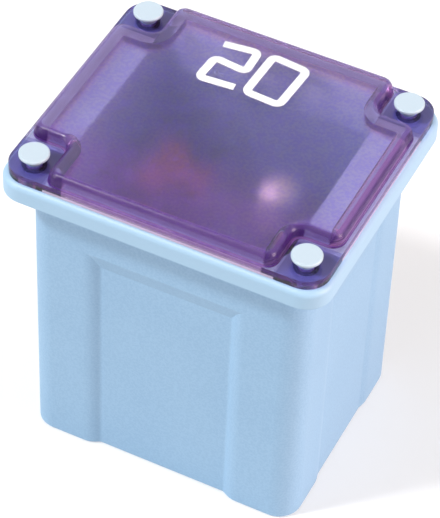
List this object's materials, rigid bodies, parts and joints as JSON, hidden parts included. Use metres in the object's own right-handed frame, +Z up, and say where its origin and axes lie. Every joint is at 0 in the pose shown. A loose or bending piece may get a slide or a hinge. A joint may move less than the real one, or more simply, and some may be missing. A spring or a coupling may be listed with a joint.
{
  "type": "low profile cartridge fuse",
  "caption": "Low profile cartridge fuse: pale blue flanged box body, tinted clear window cover held by staked posts, folded copper element with female blade sockets.",
  "frame": {"origin": "middle of the underside of the body, on the face that the fuse stands on", "axes": "+Z up from the blade slots to the window, X along the longer side, Y along the shorter side, front towards -Y"},
  "size_m": [0.0154, 0.013, 0.0172],
  "materials": {
    "housing_plastic": "satin moulded plastic, pale blue",
    "tinted_window": "clear purple moulded plastic, glossy",
    "copper_alloy": "bare stamped copper alloy",
    "spring_steel": "rolled stainless strip",
    "tin": "cast tin"
  },
  "bodies": {
    "root": {"housing": "housing_plastic", "window_cover": "tinted_window", "fuse_element": "copper_alloy", "spring_clip_left": "spring_steel", "spring_clip_right": "spring_steel", "tin_pellet": "tin"}
  },
  "joints": []
}
